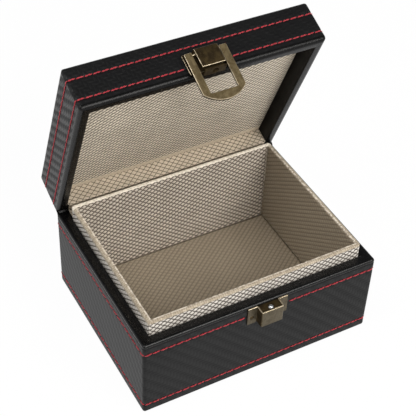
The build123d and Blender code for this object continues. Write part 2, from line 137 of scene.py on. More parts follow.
class Shader:
    """A material's node tree, with short calls for the nodes that it needs."""

    def __init__(self, name):
        self.material = bpy.data.materials.new(name)
        self.material.use_nodes = True
        self.tree = self.material.node_tree
        self.surface = self.tree.nodes["Principled BSDF"]

    def connect(self, value, socket):
        if isinstance(value, bpy.types.NodeSocket):
            self.tree.links.new(value, socket)
        elif socket.type == "RGBA":
            socket.default_value = (*value, 1)
        else:
            socket.default_value = value

    def node(self, kind, sockets, **settings):
        """A node with its settings, and with its sockets set or connected."""
        node = self.tree.nodes.new("ShaderNode" + kind)
        for name, value in settings.items():
            setattr(node, name, value)
        for name, value in sockets.items():
            self.connect(value, node.inputs[name])
        return node

    def maths(self, operation, first, second=0.0):
        return self.node("Math", {0: first, 1: second}, operation=operation).outputs[0]

    def plus(self, first, second):
        return self.maths("ADD", first, second)

    def times(self, first, second):
        return self.maths("MULTIPLY", first, second)

    def layout(self):
        place = self.node("UVMap", {}, uv_map="layout").outputs[0]
        return self.node("SeparateXYZ", {0: place}).outputs[:2]

    def noise(self, scale, detail=2.0, stretch=(1, 1, 1)):
        place = self.node("TexCoord", {}).outputs["Object"]
        moved = self.node("Mapping", {"Vector": place, "Scale": stretch}).outputs[0]
        sockets = {"Vector": moved, "Scale": scale, "Detail": detail}
        return self.node("TexNoise", sockets).outputs["Fac"]

    def blend(self, share, first, second):
        sockets = {"Factor": share, "A": first, "B": second}
        return self.node("Mix", sockets, data_type="RGBA").outputs["Result"]

    def ramp(self, value, from_low, from_high, to_low=0.0, to_high=1.0):
        sockets = {"Value": value, "From Min": from_low, "From Max": from_high}
        sockets.update({"To Min": to_low, "To Max": to_high})
        return self.node("MapRange", sockets, interpolation_type="SMOOTHSTEP").outputs[0]

    def relief(self, height, depth):
        bump = self.node("Bump", {"Height": height, "Distance": depth})
        self.connect(bump.outputs[0], self.surface.inputs["Normal"])

    def set(self, **values):
        for name, value in values.items():
            self.connect(value, self.surface.inputs[name.replace("_", " ")])


def floor_paint():
    """Matt white, which the camera and mirrors see as an even white."""
    paint = Shader("floor_paint")
    path = paint.node("LightPath", {}).outputs
    seen = paint.plus(path["Is Camera Ray"], path["Is Glossy Ray"])
    seen = paint.node("Math", {0: seen, 1: path["Is Transmission Ray"]}, operation="ADD", use_clamp=True)
    share = paint.times(seen.outputs[0], floor_glow)
    matt = paint.node("BsdfDiffuse", {"Color": floor_white}).outputs[0]
    glow = paint.node("Emission", {"Color": (1, 1, 1)}).outputs[0]
    mix = paint.node("MixShader", {0: share, 1: matt, 2: glow}).outputs[0]
    paint.tree.nodes.remove(paint.surface)
    paint.connect(mix, paint.tree.nodes["Material Output"].inputs["Surface"])
    return paint.material


floor_points = [
    (distance * math.cos(angle), distance * math.sin(angle), height - floor_drop)
    for distance, height in floor_profile
    for angle in round_turns(floor_turns)
]
floor_faces = tube_faces(len(floor_profile), floor_turns)[:-1]
studio_floor = new_piece("studio_floor", floor_points, floor_faces, floor_paint())

world = bpy.data.worlds.new("studio_air")
world.use_nodes = True
world.node_tree.nodes["Background"].inputs["Color"].default_value = (0.93, 0.96, 1.0, 1)
world.node_tree.nodes["Background"].inputs["Strength"].default_value = 0.22
bpy.context.scene.world = world


def softbox(name, place, aim, width, height, power, colour):
    """A rectangular lamp that faces a point."""
    lamp = bpy.data.lights.new(name, "AREA")
    lamp.shape = "RECTANGLE"
    lamp.size = width
    lamp.size_y = height
    lamp.energy = power
    lamp.color = colour
    holder = bpy.data.objects.new(name, lamp)
    bpy.context.scene.collection.objects.link(holder)
    holder.location = place
    holder.rotation_mode = "QUATERNION"
    holder.rotation_quaternion = (Vector(aim) - Vector(place)).to_track_quat("-Z", "Y")


box_middle = (0.0, 0.0, 0.05)
softbox("key_softbox", (0.35, -1.25, 1.05), box_middle, 1.1, 0.85, 27.0, (1.0, 0.98, 0.95))
softbox("top_softbox", (-0.55, -0.25, 1.35), box_middle, 0.7, 0.7, 8.0, (1.0, 0.99, 0.97))
softbox("left_softbox", (-1.3, 0.1, 0.75), box_middle, 0.8, 0.6, 5.0, (1.0, 1.0, 1.0))

# ---- Leatherette over the base ---------------------------------------------
# One strip of black coated cloth, pressed with a carbon-fibre twill, is glued
# round the board walls from under the base, over the rim and down the inside.
# Two sewn rows draw it in, and it is smooth where it is stretched over the rim.
wrap_low, wrap_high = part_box("base_leather_wrap")
half_x = wrap_high.x
half_y = wrap_high.y
corner_radius = 1.5 * MM
least_radius = 0.15 * MM
bottom_radius = 1.3 * MM
rim_radius = 1.4 * MM
rim_inner_radius = 0.8 * MM
seam_below = 2.2 * MM
seam_depth = 0.5 * MM
seam_width = 0.8 * MM
leather_thick = 1.0 * MM
wall_thick = 6.0 * MM
turn_in = 14.0 * MM
tuck_height = 4.0 * MM
inner_reach = 14.0 * MM
level_step = 1.6 * MM
base_sway = 0.012 * MM
stitch_pitch = 4.5 * MM
sewn_depth = 0.22 * MM
needle_depth = 0.16 * MM
sewn_reach = 0.75 * MM
outline_steps = 664
hinge_groove = 1.1 * MM
lid_joint = next(joint for joint in frame["joints"] if joint["name"] == "lid_hinge")
hinge = Vector(lid_joint["pos_m"])


def heading(degrees):
    """Direction of length one at an angle, in plan or in the section."""
    return np.array([math.cos(math.radians(degrees)), math.sin(math.radians(degrees))])


def outline_place(distance, inset, half_x, half_y, corner):
    """Place and outward direction on a rounded outline, moved in by inset.

    The distance is counted on the outer face, from the middle of the back, past
    the left side, the front and the right side.
    """
    radius = max(corner - inset, least_radius)
    mid_x, mid_y = half_x - inset - radius, half_y - inset - radius
    bend = math.pi / 2 * corner
    run_x, run_y = half_x - corner, 2 * (half_y - corner)
    start = back = np.array([0.0, mid_y + radius])
    turns = ((-1, 1, 90, run_x), (-1, -1, 180, run_y), (1, -1, 270, 2 * run_x), (1, 1, 0, run_y))
    for side_x, side_y, angle, run in turns:
        middle = np.array([side_x * mid_x, side_y * mid_y])
        end = middle + radius * heading(angle)
        if distance <= run:
            return start + (end - start) * distance / run, heading(angle)
        if distance <= run + bend:
            outward = heading(angle + 90 * (distance - run) / bend)
            return middle + radius * outward, outward
        distance -= run + bend
        start = middle + radius * heading(angle + 90)
    return start + (back - start) * min(distance / run_x, 1.0), heading(90)


box_outline = (half_x, half_y, corner_radius)
outline_length = 4 * (half_x + half_y) + (2 * math.pi - 8) * corner_radius
stitch_count = round(outline_length / stitch_pitch)


def levels(low, high, rows):
    """Heights from low to high, closer together beside each sewn row."""
    heights = list(np.linspace(low, high, max(2, round((high - low) / level_step) + 1)))
    for row in rows:
        heights = [z for z in heights if abs(z - row) > 1.4 * sewn_reach]
        heights += [row + sewn_reach * step / 3 for step in range(-4, 5)]
    return sorted(z for z in heights if low <= z <= high)


def quarter(inset, height, radius, first, last, steps):
    """Points of a quarter round between two directions in the wall's section."""
    angles = np.radians(np.linspace(first, last, steps + 1))
    return [(inset - radius * math.cos(a), height + radius * math.sin(a)) for a in angles]


def clear_of_hinge(place, height):
    """Moves a point that is too near the hinge line back to the groove's face."""
    reach = np.array([place[1] - hinge.y, height - hinge.z])
    distance = max(np.linalg.norm(reach), 1e-6)
    if distance >= hinge_groove:
        return place, height
    reach *= hinge_groove / distance
    return np.array([place[0], hinge.y + reach[0]]), hinge.z + reach[1]


def swept_skin(name, profile, rows, sway, loop=True):
    """A closed skin: the profile of (inset, height) carried round the outline.

    It is drawn in at the heights of the sewn rows, and sway is how much it waves.
    Its level faces are mapped from above, so that the twill runs straight there.
    """
    distances = np.linspace(0, outline_length, outline_steps, endpoint=False)
    profile = np.array(profile)
    points = np.zeros((len(profile), outline_steps, 3))
    for index, (inset, height) in enumerate(profile):
        for column, distance in enumerate(distances):
            place, outward = outline_place(distance, inset, *box_outline)
            needle = 0.5 + 0.5 * math.cos(2 * math.pi * distance * stitch_count / outline_length)
            drawn = 0.0
            if inset < corner_radius:
                for row in rows:
                    fall = math.exp(-(((height - row) / sewn_reach) ** 2))
                    drawn += fall * (sewn_depth + needle_depth * needle**3)
                drawn += sway * (
                    math.sin(distance / (7.1 * MM) + height / (9.0 * MM))
                    + math.sin(distance / (17.3 * MM) - height / (13.0 * MM) + 1.7)
                )
            place, level = clear_of_hinge(place - outward * drawn, height)
            points[index, column] = (place[0], place[1], level)
    steps = np.linalg.norm(np.diff(profile, axis=0, append=profile[:1]), axis=1)
    v_values = np.concatenate([[0.0], np.cumsum(steps)])
    u_values = np.append(distances, outline_length)
    skin = grid_object(name, points, u_values, v_values, True, loop)
    close_shell(skin)
    layout = skin.data.uv_layers["layout"]
    for face in skin.data.polygons:
        if abs(face.normal.z) > 0.98:
            for corner in face.loop_indices:
                place = skin.data.vertices[skin.data.loops[corner].vertex_index].co
                layout.data[corner].uv = (place.x, place.y)
    return skin


def grid_object(name, points, u_values, v_values, loop_u, loop_v):
    """A smooth mesh from a grid of points, with a map laid out in metres."""
    rows, columns = points.shape[:2]
    i, j = np.meshgrid(
        np.arange(rows if loop_v else rows - 1),
        np.arange(columns if loop_u else columns - 1),
        indexing="ij",
    )
    corner_rows = np.stack([i, i, i + 1, i + 1], -1).reshape(-1, 4)
    corner_columns = np.stack([j, j + 1, j + 1, j], -1).reshape(-1, 4)
    quads = (corner_rows % rows) * columns + corner_columns % columns
    piece = new_piece(name, points.reshape(-1, 3).tolist(), quads.tolist())
    lay_out(piece, np.stack([u_values[corner_columns], v_values[corner_rows]], -1))
    return piece


def lay_out(piece, spread):
    """Writes the map "layout" from one place for each face corner."""
    layout = piece.data.uv_layers.new(name="layout")
    layout.data.foreach_set("uv", spread.reshape(-1).astype(np.float32))


def close_shell(piece):
    """Fills the open ends of a mesh, if it has any, and turns its faces outwards."""
    shell = bmesh.new()
    shell.from_mesh(piece.data)
    ends = [edge for edge in shell.edges if edge.is_boundary]
    bmesh.ops.holes_fill(shell, edges=ends, sides=0)
    bmesh.ops.recalc_face_normals(shell, faces=shell.faces)
    shell.to_mesh(piece.data)
    shell.free()


def twill_leatherette(name, depth, gloss):
    """Black coated cloth pressed to a depth with a two-by-two twill of flat tows.

    gloss is how much smoother the upright tows are than the level ones.
    """
    tow = 1.9 * MM
    paint = Shader(name)
    u, v = paint.layout()
    across, up = paint.maths("DIVIDE", u, tow), paint.maths("DIVIDE", v, tow)
    column, row = paint.maths("FLOOR", across), paint.maths("FLOOR", up)
    part_across, part_up = paint.maths("FRACT", across), paint.maths("FRACT", up)
    phase = paint.maths("FLOORED_MODULO", paint.plus(column, row), 4.0)
    upright = paint.maths("LESS_THAN", phase, 1.5)

    def tow_crown(part_along, part_over, share):
        """A tow's crown, which dips where it goes under the others."""
        run = paint.times(paint.plus(phase, part_along), math.pi / 2)
        along = paint.maths("ABSOLUTE", paint.maths("SINE", run))
        over = paint.maths("SINE", paint.times(part_over, math.pi))
        return paint.times(paint.times(along, over), share)

    level = paint.maths("SUBTRACT", 1.0, upright)
    crown = paint.plus(tow_crown(part_up, part_across, upright), tow_crown(part_across, part_up, level))
    grain = paint.noise(2600.0, 3.0)
    patch = paint.noise(60.0, 2.0)
    tow_colour = paint.blend(upright, (0.0032, 0.0032, 0.0034), (0.0060, 0.0060, 0.0062))
    worn = paint.ramp(patch, 0.35, 0.75, 0.0, 0.3)
    rough = paint.plus(paint.times(upright, -gloss), 0.41 + gloss / 2)
    paint.set(
        Base_Color=paint.blend(worn, tow_colour, (0.009, 0.009, 0.0092)),
        Roughness=paint.plus(rough, paint.times(grain, 0.08)),
        IOR=1.263,
    )
    paint.relief(paint.plus(paint.times(crown, 0.85), paint.times(grain, 0.4)), depth)
    return paint.material


def smooth_leatherette(name, low_rough, index, shade=0.0036):
    """The same cloth, stretched smooth: only its fine grain is left."""
    paint = Shader(name)
    grain = paint.noise(1500.0, 4.0)
    patch = paint.noise(140.0, 3.0)
    dark, light = (0.5 * shade, 0.48 * shade, 0.48 * shade), (shade, 0.97 * shade, 0.97 * shade)
    paint.set(
        Base_Color=paint.blend(paint.ramp(patch, 0.35, 0.7), dark, light),
        Roughness=paint.ramp(grain, 0.3, 0.7, low_rough, low_rough + 0.08),
        IOR=index,
    )
    paint.relief(grain, 0.09 * MM)
    return paint.material


def shut_box(node):
    """Lowest and highest corner of one of the lid's nodes, with the lid swung shut."""
    shut = lid_open.inverted()
    corners = np.array([shut @ v.co for v in frame["nodes"][node].data.vertices])
    return Vector(corners.min(0)), Vector(corners.max(0))


def middle_of(low, high):
    """Middle of the box between two corners."""
    return (low + high) / 2


base_rows = [middle_of(*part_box(node)).z for node in ("base_stitching_lower", "base_stitching_upper")]
under, rim = wrap_low.z, wrap_high.z
base_profile = [(turn_in, under), (turn_in / 2, under)]
base_profile += quarter(bottom_radius, under + bottom_radius, bottom_radius, -90, 0, 6)
seam = rim - seam_below
wall_levels = levels(under + 1.2 * bottom_radius, seam - 1.2 * seam_width, base_rows)
base_profile += [(0.0, z) for z in wall_levels]
rim_start = len(base_profile)
base_profile += [(0.0, seam - seam_width / 2), (seam_depth, seam), (0.0, seam + seam_width / 2)]
base_profile += quarter(rim_radius, rim - rim_radius, rim_radius, 0, 90, 7)
base_profile += [(wall_thick / 2, rim)]
base_profile += quarter(wall_thick - rim_inner_radius, rim - rim_inner_radius, rim_inner_radius, 90, 180, 5)
base_profile += [
    (wall_thick, rim - inner_reach),
    (wall_thick, under + tuck_height),
    (wall_thick - leather_thick, under + tuck_height),
    (wall_thick - leather_thick, rim - leather_thick),
    (leather_thick, rim - leather_thick),
    (leather_thick, under + leather_thick),
    (turn_in, under + leather_thick),
]
base_leather = swept_skin("base_leather", base_profile, base_rows, base_sway)
base_leather.data.materials.append(twill_leatherette("twill_leatherette", 0.05 * MM, 0.06))
base_leather.data.materials.append(smooth_leatherette("smooth_leatherette", 0.21, 1.31))
for index, face in enumerate(base_leather.data.polygons):
    if index // outline_steps >= rim_start:
        face.material_index = 1
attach(base_leather, "base")
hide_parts("base_leather_wrap")

# ---- Leatherette over the lid ----------------------------------------------
# The lid is wrapped in the same cloth, which also runs over its top. The lid is
# laid out shut and then swung open about the hinge, as all its parts are.
open_angle = math.radians(-lid_joint["range_deg"][0])
lid_turn = Matrix.Rotation(open_angle, 4, Vector(lid_joint["axis"]))
lid_open = Matrix.Translation(hinge) @ lid_turn @ Matrix.Translation(-hinge)
top_radius = 1.8 * MM
top_margin = (2.6 * MM, 3.4 * MM)
lid_rim_radius = 2.4 * MM
lid_sway = 0.02 * MM
lid_wrap_low, lid_wrap_high = shut_box("lid_leather_wrap")
lid_panel_low, lid_panel_high = shut_box("lid_lining_pad")
lid_rows = [middle_of(*shut_box(node)).z for node in ("lid_stitching_lower", "lid_stitching_upper")]
lid_rim, lid_top = lid_wrap_low.z, lid_wrap_high.z
lid_profile = [
    (2 * leather_thick, lid_top - leather_thick),
    (leather_thick, lid_top - leather_thick),
    (leather_thick, lid_rim + leather_thick),
    (wall_thick - leather_thick, lid_rim + leather_thick),
    (wall_thick - leather_thick, lid_panel_high.z),
    (wall_thick, lid_panel_high.z),
]
lid_rim_start = len(lid_profile)
lid_profile += quarter(
    wall_thick - rim_inner_radius, lid_rim + rim_inner_radius, rim_inner_radius, 180, 270, 5
)
lid_profile += [(wall_thick / 2, lid_rim)]
lid_profile += quarter(lid_rim_radius, lid_rim + lid_rim_radius, lid_rim_radius, 270, 360, 8)
lid_wall_start = len(lid_profile)
wall_levels = levels(lid_rim + 1.1 * lid_rim_radius, lid_top - 1.2 * top_radius, lid_rows)
lid_profile += [(0.0, z) for z in wall_levels]
lid_profile += quarter(top_radius, lid_top - top_radius, top_radius, 0, 90, 6)
lid_profile += [(inset, lid_top) for inset in top_margin]
lid_leather = swept_skin("lid_leather", lid_profile, lid_rows, lid_sway, loop=False)
lid_leather.data.materials.append(twill_leatherette("lid_twill_leatherette", 0.14 * MM, 0.2))
lid_leather.data.materials.append(smooth_leatherette("lid_smooth_leatherette", 0.24, 1.25))
lid_leather.data.materials.append(smooth_leatherette("matt_leatherette", 0.5, 1.22, 0.012))
lid_leather.data.transform(lid_open)
for index, face in enumerate(lid_leather.data.polygons):
    level = index // outline_steps
    if level < lid_rim_start:
        face.material_index = 2
    elif level < lid_wall_start:
        face.material_index = 1
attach(lid_leather, "lid")
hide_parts("lid_leather_wrap")

# ---- Sewn rows -------------------------------------------------------------
# Two-ply red thread runs in two rows round the base and two round the lid. Each
# stitch rises from one needle hole and dives into the next.
ply_radius = 0.23 * MM
ply_offset = 0.18 * MM
stitch_rise = -0.04 * MM
stitch_dive = 0.75 * MM
stitch_slant = 0.16 * MM
stitch_turns = 1.25
stitch_half = 0.485 * stitch_pitch
stitch_sections = 13
ply_sides = 6


def fibrous(name, grain, share, dark, light, roughness, depth=0.0, **values):
    """A matt finish whose fine grain shows in its colour and in its relief."""
    paint = Shader(name)
    fibre = paint.noise(*grain)
    paint.set(
        Base_Color=paint.blend(paint.ramp(fibre, *share), dark, light),
        Roughness=roughness,
        **values,
    )
    if depth:
        paint.relief(fibre, depth)
    return paint.material


red_thread = fibrous(
    "red_thread",
    (3200.0, 2.0),
    (0.3, 0.7),
    (0.22, 0.005, 0.012),
    (0.44, 0.012, 0.027),
    0.5,
    Sheen_Weight=0.15,
    Sheen_Roughness=0.4,
)


def sewn_row(name, height, covered=None):
    """Stitches round the box at one height; none lie under a fitting."""
    points, faces = [], []
    for stitch in range(stitch_count):
        middle = (stitch + 0.5) * outline_length / stitch_count
        place, outward = outline_place(middle, 0, *box_outline)
        if covered and outward[1] < -0.9 and covered[0] < place[0] < covered[1]:
            continue
        for ply in range(2):
            first = len(points)
            for section in range(stitch_sections):
                part = 2 * section / (stitch_sections - 1) - 1
                distance = middle + part * stitch_half
                place, outward = outline_place(distance, 0, *box_outline)
                rise = stitch_rise - (stitch_rise + stitch_dive) * abs(part) ** 5
                twist = math.pi * (stitch_turns * part + ply)
                out = rise + ply_offset * math.cos(twist)
                up = height + stitch_slant * part + ply_offset * math.sin(twist)
                for angle in round_turns(ply_sides):
                    x, y = place + outward * (out + ply_radius * math.cos(angle))
                    points.append((x, y, up + ply_radius * math.sin(angle)))
            faces += tube_faces(stitch_sections, ply_sides, first)
    row = new_piece(name, points, faces, red_thread)
    close_shell(row)
    return row


keeper_low, keeper_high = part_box("keeper_bracket")
hasp_low, hasp_high = shut_box("hasp_bracket")
base_covers = (None, (keeper_low.x, keeper_high.x))
lid_covers = ((hasp_low.x, hasp_high.x), None)
for level, height, covered in zip(("lower", "upper"), base_rows, base_covers):
    stitches = sewn_row(f"base_stitches_{level}", height, covered)
    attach(stitches, "base")
    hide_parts(f"base_stitching_{level}")
for level, height, covered in zip(("lower", "upper"), lid_rows, lid_covers):
    stitches = sewn_row(f"lid_stitches_{level}", height, covered)
    stitches.data.transform(lid_open)
    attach(stitches, "lid")
    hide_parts(f"lid_stitching_{level}")

# ---- Lining collar ---------------------------------------------------------
# Thin boards covered with metallised shielding cloth stand up past the base's
# rim. The cloth is folded over their top edge, where its weave is pulled flat.
weave_across = 4.0 * MM
weave_up = 3.0 * MM
weave_sunk = 0.24 * MM
yarn_pitch = 0.36 * MM
hatch_pitch = 1.25 * MM
cloth_grid = 0.5 * MM
collar_edge = 0.9 * MM
collar_corner = 1.6 * MM
wall_cloth = 0.45 * MM
side_fold = 1.4 * MM
crest_rise = 1.6 * MM
weave_below = 2.0 * MM
collar_low, collar_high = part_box("liner_fabric")
pad_low, pad_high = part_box("liner_floor_pad")
collar_wall = collar_high.x - pad_high.x
collar_half = ((collar_high.x - collar_low.x) / 2, (collar_high.y - collar_low.y) / 2)
collar_middle_y = middle_of(collar_low, collar_high).y


def pillows(u, v):
    """Height of the weave: 0 in its gaps and 1 on top of its pillows."""
    across, up = math.pi * u / weave_across, math.pi * v / weave_up
    beside = np.clip((np.abs(np.cos(across - up)) - 0.15) / 0.6, 0, 1)
    ahead = np.clip((np.abs(np.cos(across + up)) - 0.05) / 0.5, 0, 1)
    return beside * beside * (3 - 2 * beside) * ahead * ahead * (3 - 2 * ahead)


def shielding_cloth(name, gap_colour, pillow_colour, beside_gap, ahead_gap, hem_colour, hem_width):
    """Cloth of silvered yarn: bright floats in slanting rows over darker gaps.

    The two gaps say how wide the dark lines beside and ahead of a float are. The
    weave is pulled flat in the hem, some millimetres along the cloth's lower edge.
    """
    paint = Shader(name)
    u, v = paint.layout()
    across = paint.times(u, math.pi / weave_across)
    up = paint.times(v, math.pi / weave_up)
    beside = paint.maths("ABSOLUTE", paint.maths("COSINE", paint.maths("SUBTRACT", across, up)))
    ahead = paint.maths("ABSOLUTE", paint.maths("COSINE", paint.plus(across, up)))
    float_share = paint.times(paint.ramp(beside, *beside_gap), paint.ramp(ahead, *ahead_gap))
    yarn = paint.maths("SINE", paint.times(u, 2 * math.pi / yarn_pitch))
    fibre = paint.noise(1800.0, 2.0)
    patch = paint.noise(90.0, 2.0)
    shaded = tuple(0.84 * part for part in pillow_colour)
    bright = paint.blend(paint.ramp(fibre, 0.35, 0.7), shaded, pillow_colour)
    woven = paint.blend(float_share, gap_colour, bright)
    mottled = paint.blend(paint.ramp(patch, 0.3, 0.8, 0.0, 0.16), woven, gap_colour)
    hem = paint.ramp(v, 0.6 * hem_width * MM, hem_width * MM, 1.0, 0.0)
    paint.set(
        Base_Color=paint.blend(hem, mottled, hem_colour),
        Roughness=paint.ramp(float_share, 0.0, 1.0, 0.75, 0.45),
        Metallic=paint.ramp(float_share, 0.2, 1.0, 0.0, 0.2),
    )
    paint.relief(paint.plus(paint.times(yarn, 0.3), fibre), 0.04 * MM)
    return paint.material


def folded_cloth():
    """The cloth over the collar's top, threads end on, with a painted highlight on its crest and painted
    light at the back.
    """
    paint = Shader("folded_cloth")
    u, v = paint.layout()
    fibre = paint.noise(2200.0, 3.0)
    knot = paint.noise(700.0, 2.0)
    hatch = paint.maths("SINE", paint.times(u, 2 * math.pi / hatch_pitch))
    mixed = paint.plus(paint.times(hatch, 0.12), knot)
    flat = paint.blend(paint.ramp(mixed, 0.36, 0.66), (0.26, 0.21, 0.15), (0.44, 0.375, 0.285))
    # Painted highlight: the crest is pale where light falls on the rounded top edge.
    crest = paint.blend(paint.ramp(knot, 0.38, 0.58), (0.30, 0.25, 0.19), (0.66, 0.59, 0.49))
    away = paint.maths("ABSOLUTE", paint.maths("SUBTRACT", v, collar_high.z + crest_rise))
    front_top = paint.blend(paint.ramp(away, 0.35 * MM, 0.75 * MM), crest, flat)
    place = paint.node("TexCoord", {}).outputs["Object"]
    y = paint.node("SeparateXYZ", {0: place}).outputs[1]
    # Painted light: the top over the back wall is made lighter.
    behind = paint.ramp(y, collar_high.y - 4 * MM, collar_high.y - 3 * MM)
    back_top = paint.blend(paint.ramp(knot, 0.3, 0.6), (0.56, 0.49, 0.39), (0.84, 0.77, 0.66))
    paint.set(Base_Color=paint.blend(behind, front_top, back_top), Roughness=0.7)
    paint.relief(paint.plus(fibre, knot), 0.12 * MM)
    return paint.material


inner_gaps = ((0.20, 0.74), (0.14, 0.66))
side_gaps = ((0.20, 0.80), (0.05, 0.45))
lid_gaps = ((0.26, 0.84), (0.00, 0.38))
back_gaps = ((0.10, 0.44), (0.05, 0.34))
# Each finish has its gaps' and its floats' colour, how wide the dark lines are beside
# and ahead of a float, and the hem's colour and width in millimetres.
cloth_finishes = {
    "liner_weave": ((0.060, 0.047, 0.036), (0.84, 0.79, 0.72), *inner_gaps, (0.30, 0.25, 0.19), 0.5),
    # The next finish is a darker, warmer copy of the cloth for the inner back and front walls: painted
    # shade and painted warm bounce light.
    "room_weave": ((0.085, 0.062, 0.042), (0.80, 0.72, 0.62), *inner_gaps, (0.24, 0.195, 0.14), 0.9),
    # The next finish is a darker copy for the side walls and the floor pad: its colours are painted shade,
    # its gaps are the weave's own.
    "side_weave": ((0.205, 0.164, 0.116), (0.385, 0.325, 0.240), *side_gaps, (0.24, 0.195, 0.14), 0.9),
    "lid_weave": ((0.055, 0.040, 0.027), (0.86, 0.77, 0.63), *lid_gaps, (0.60, 0.51, 0.39), 5.5),
    "back_weave": ((0.050, 0.034, 0.018), (0.62, 0.53, 0.41), *back_gaps, (0.40, 0.34, 0.26), 0.5),
}
cloths = {name: shielding_cloth(name, *finish) for name, finish in cloth_finishes.items()}

collar_length = 4 * sum(collar_half) + (2 * math.pi - 8) * collar_corner
collar_columns = round(collar_length / cloth_grid)
collar_distances = np.linspace(0, collar_length, collar_columns, endpoint=False)
weave_start = rim - weave_below
weave_end = collar_high.z - collar_edge
collar_profile = [(0.0, collar_low.z), (0.0, rim - 2 * weave_below)]
collar_profile += [(0.0, z) for z in np.arange(weave_start, weave_end, cloth_grid)]
plain_start = len(collar_profile)
collar_profile += quarter(collar_edge, collar_high.z - collar_edge, collar_edge, 0, 90, 5)
collar_inner = collar_wall - wall_cloth
half_edge = collar_edge / 2
collar_profile += quarter(collar_inner - half_edge, collar_high.z - half_edge, half_edge, 90, 180, 4)
collar_profile += [(collar_inner, collar_low.z)]
collar_points = np.zeros((len(collar_profile), collar_columns, 3))
collar_fold = np.zeros(collar_columns)
for index, (inset, height) in enumerate(collar_profile):
    for column, distance in enumerate(collar_distances):
        place, outward = outline_place(distance, inset, *collar_half, collar_corner)
        collar_fold[column] = weave_end - side_fold * (abs(outward[0]) > 0.7)
        shown = np.clip(min(height - weave_start, collar_fold[column] - height) / MM, 0, 1)
        place = place - outward * weave_sunk * (1 - pillows(distance, height)) * shown
        collar_points[index, column] = (place[0], place[1] + collar_middle_y, height)
collar_v = np.array([height for inset, height in collar_profile] + [collar_low.z])
over_top = np.linalg.norm(np.diff(np.array(collar_profile)[plain_start - 1 :], axis=0), axis=1)
collar_v[plain_start:-1] = collar_v[plain_start - 1] + np.cumsum(over_top)
collar_u = np.append(collar_distances, collar_length)
collar_cloth = grid_object("collar_cloth", collar_points, collar_u, collar_v, True, True)
close_shell(collar_cloth)
collar_cloth.data.materials.append(cloths["liner_weave"])
collar_cloth.data.materials.append(folded_cloth())
for index, face in enumerate(collar_cloth.data.polygons):
    level, column = divmod(index, collar_columns)
    if level >= plain_start - 1 or collar_profile[level][1] > collar_fold[column]:
        face.material_index = 1
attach(collar_cloth, "base")
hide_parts("liner_fabric")

# ---- Cloth on the collar's inner walls -------------------------------------
# Four cut pieces of the same cloth are glued inside the collar, each with its
# sides turned in, so that a fine dark line stays in every corner. Their colours are
# darker, warmer copies of the collar's: painted shade for the inside of the box.
turned_edge = 0.7 * MM
edge_drop = 0.32 * MM
tucked = 0.3 * MM
wall_drop = 0.55 * MM


def woven_sheet(name, paint, corner, across, up, width, height, thick, crown=0.0, ease=0.0):
    """A closed flat sheet or pad with the weave's pillows raised on its face.

    It starts at a corner and runs along two directions. crown lifts its middle
    and ease is how far that crown takes to fall to the edge.
    """
    across, up = np.array(across, float), np.array(up, float)
    outward = np.cross(across, up)
    columns, rows = round(width / cloth_grid) + 1, round(height / cloth_grid) + 1
    u, v = np.linspace(0, width, columns), np.linspace(0, height, rows)
    from_side, from_end = np.minimum(u, width - u)[None, :], np.minimum(v, height - v)[:, None]
    inside = np.clip(np.minimum(from_side, from_end) / turned_edge, 0, 1)
    lift = -weave_sunk * (1 - pillows(u[None, :], v[:, None])) * inside - edge_drop * (1 - inside) ** 2
    if ease:
        swell = [np.sin(np.clip(reach / ease, 0, 1) * math.pi / 2) for reach in (from_side, from_end)]
        lift = lift + crown * (swell[0] * swell[1] - 1)
    corner = np.array(corner, float)
    face = corner + u[None, :, None] * across + v[:, None, None] * up + lift[..., None] * outward
    index = np.arange(rows * columns).reshape(rows, columns)
    quads = np.stack([index[:-1, :-1], index[:-1, 1:], index[1:, 1:], index[1:, :-1]], -1)
    border = np.concatenate([index[0, :-1], index[:-1, -1], index[-1, :0:-1], index[:0:-1, 0]])
    flat = face.reshape(-1, 3)
    depth = thick + (flat[border] - corner) @ outward
    back = flat[border] - depth[:, None] * outward
    points = np.concatenate([flat, back])
    behind = rows * columns + np.arange(len(border))
    sides = np.stack([border, behind, np.roll(behind, -1), np.roll(border, -1)], -1)
    faces = quads.reshape(-1, 4).tolist() + sides.tolist() + [behind[::-1].tolist()]
    sheet = new_piece(name, points.tolist(), faces, paint)
    mesh = sheet.data
    spread = np.stack(np.meshgrid(u, v), -1).reshape(-1, 2)
    spread = np.concatenate([spread, spread[border]])
    corners = np.zeros(len(mesh.loops), np.int32)
    mesh.loops.foreach_get("vertex_index", corners)
    lay_out(sheet, spread[corners])
    mesh.set_sharp_from_angle(angle=math.radians(50))
    return sheet


room_x = pad_high.x
room_front, room_back = pad_low.y, pad_high.y
wall_foot = pad_high.z - tucked
wall_height = collar_high.z - wall_drop - wall_foot
wall_sheets = {
    "back": ((-room_x, room_back, wall_foot), (1, 0, 0), 2 * room_x),
    "front": ((room_x, room_front, wall_foot), (-1, 0, 0), 2 * room_x),
    "left": ((-room_x, room_front, wall_foot), (0, 1, 0), room_back - room_front),
    "right": ((room_x, room_back, wall_foot), (0, -1, 0), room_back - room_front),
}
for side, (corner, across, width) in wall_sheets.items():
    # Both inner finishes are darker copies of the cloth: painted shade inside the box.
    weave = cloths["side_weave" if side in ("left", "right") else "room_weave"]
    name = f"liner_{side}_cloth"
    wall_sheet = woven_sheet(name, weave, corner, across, (0, 0, 1), width, wall_height, wall_cloth)
    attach(wall_sheet, "base")

# ---- Floor pad -------------------------------------------------------------
# A thin foam board is covered with the same cloth, whose edges are turned under.
# It lies loose on the base's floor, between the four walls.
floor_crown = 0.3 * MM
# The pad takes the side walls' darker copy of the cloth: painted shade.
floor_pad = woven_sheet(
    "floor_pad",
    cloths["side_weave"],
    (-room_x, room_front, pad_high.z + floor_crown),
    (1, 0, 0),
    (0, 1, 0),
    2 * room_x,
    room_back - room_front,
    pad_high.z + floor_crown - pad_low.z,
    crown=floor_crown,
    ease=5 * MM,
)
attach(floor_pad, "base")
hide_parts("liner_floor_pad")

